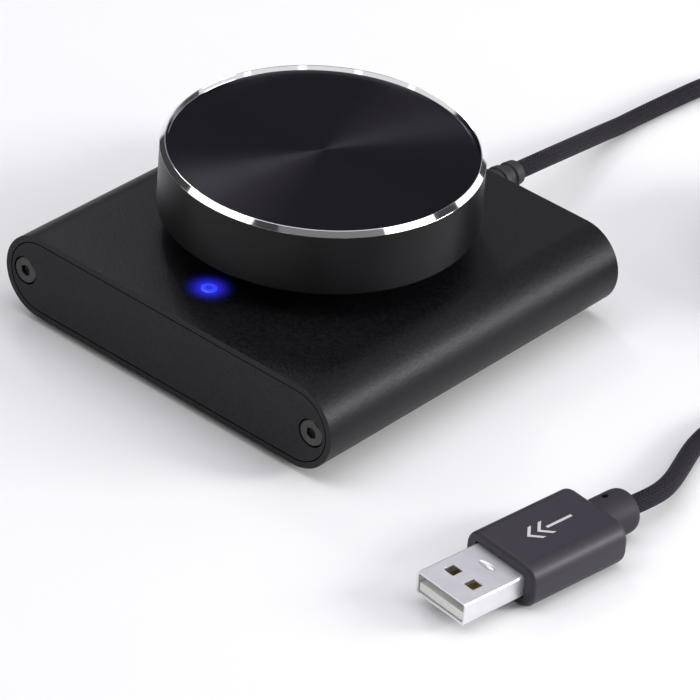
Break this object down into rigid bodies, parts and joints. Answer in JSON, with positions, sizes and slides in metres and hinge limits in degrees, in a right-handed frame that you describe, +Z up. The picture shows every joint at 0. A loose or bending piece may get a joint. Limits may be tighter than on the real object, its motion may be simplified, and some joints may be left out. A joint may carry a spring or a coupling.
{
  "type": "desktop volume knob",
  "caption": "Flat round-sided aluminium case with one large turning and pressing knob, a status light, and a captive lead that ends in a flat rectangular plug.",
  "frame": {"origin": "on the desk, under the middle of the case, without the free lead", "axes": "+Z up, along the knob's axis; -Y towards the end with the status light; the lead leaves towards +Y"},
  "size_m": [0.1316, 0.1906, 0.0364],
  "materials": {
    "anodised_case": "black satin anodised, bead blasted",
    "end_plate": "black matt anodised",
    "turned_knob": "black anodised, fine turned rings on the disc, bright diamond-cut lip",
    "black_screw": "black oxide steel",
    "plated_steel": "nickel plated",
    "tinned_pin": "tinned",
    "plug_metal": "nickel plated sheet steel",
    "contact_brass": "gold plated",
    "capacitor_can": "bright can",
    "foot_rubber": "matt",
    "lead_rubber": "matt moulded",
    "plug_rubber": "fine matt moulded",
    "black_plastic": "moulded",
    "white_plastic": "moulded nylon",
    "circuit_board": "green solder mask on glass epoxy",
    "blue_lens": "clear lens lit blue",
    "lead_jacket": "smooth jacket",
    "lead_braid": "black woven nylon braid",
    "tie_strap": "hook-and-loop strap"
  },
  "bodies": {
    "case": {"case_extrusion": "anodised_case", "front_plate": "end_plate", "rear_plate": "end_plate", "front_screw_left": "black_screw", "front_screw_right": "black_screw", "rear_screw_left": "black_screw", "rear_screw_right": "black_screw", "foot_1": "foot_rubber", "foot_2": "foot_rubber", "foot_3": "foot_rubber", "foot_4": "foot_rubber", "encoder_body": "black_plastic", "encoder_bushing": "plated_steel", "encoder_washer": "plated_steel", "encoder_nut": "plated_steel", "detent_spring": "contact_brass", "switch_dome": "plated_steel", "encoder_pin_1": "tinned_pin", "encoder_pin_2": "tinned_pin", "encoder_pin_3": "tinned_pin", "encoder_pin_4": "tinned_pin", "encoder_pin_5": "tinned_pin", "main_board": "circuit_board", "controller_chip": "black_plastic", "crystal": "plated_steel", "voltage_regulator": "black_plastic", "light_resistor": "black_plastic", "capacitor_1": "capacitor_can", "capacitor_2": "capacitor_can", "status_led": "white_plastic", "light_pipe": "blue_lens", "board_header": "white_plastic", "lead_connector": "white_plastic", "inner_lead": "lead_jacket", "cord_gland": "lead_rubber", "cord_from_case": "lead_braid", "cord_coil": "lead_braid", "cord_to_plug": "lead_braid", "coil_tie_1": "tie_strap", "coil_tie_2": "tie_strap", "plug_boot": "plug_rubber", "plug_grip": "plug_rubber", "plug_shell": "plug_metal", "plug_insulator": "white_plastic", "plug_contact_1": "contact_brass", "plug_contact_2": "contact_brass", "plug_contact_3": "contact_brass", "plug_contact_4": "contact_brass"},
    "rotor": {"encoder_rotor": "white_plastic"},
    "knob": {"knob_shell": "turned_knob", "knob_set_screw": "black_screw", "encoder_shaft": "plated_steel", "encoder_plunger": "white_plastic"}
  },
  "joints": [
    {"name": "knob_turn", "type": "hinge", "parent": "case", "child": "rotor", "pos_m": [0, 0, 0.014], "axis": [0, 0, 1], "continuous": true},
    {"name": "knob_press", "type": "slide", "parent": "rotor", "child": "knob", "axis": [0, 0, -1], "range_m": [0, 0.0005], "stiffness_N_per_m": 4000, "springref_m": -0.001}
  ]
}
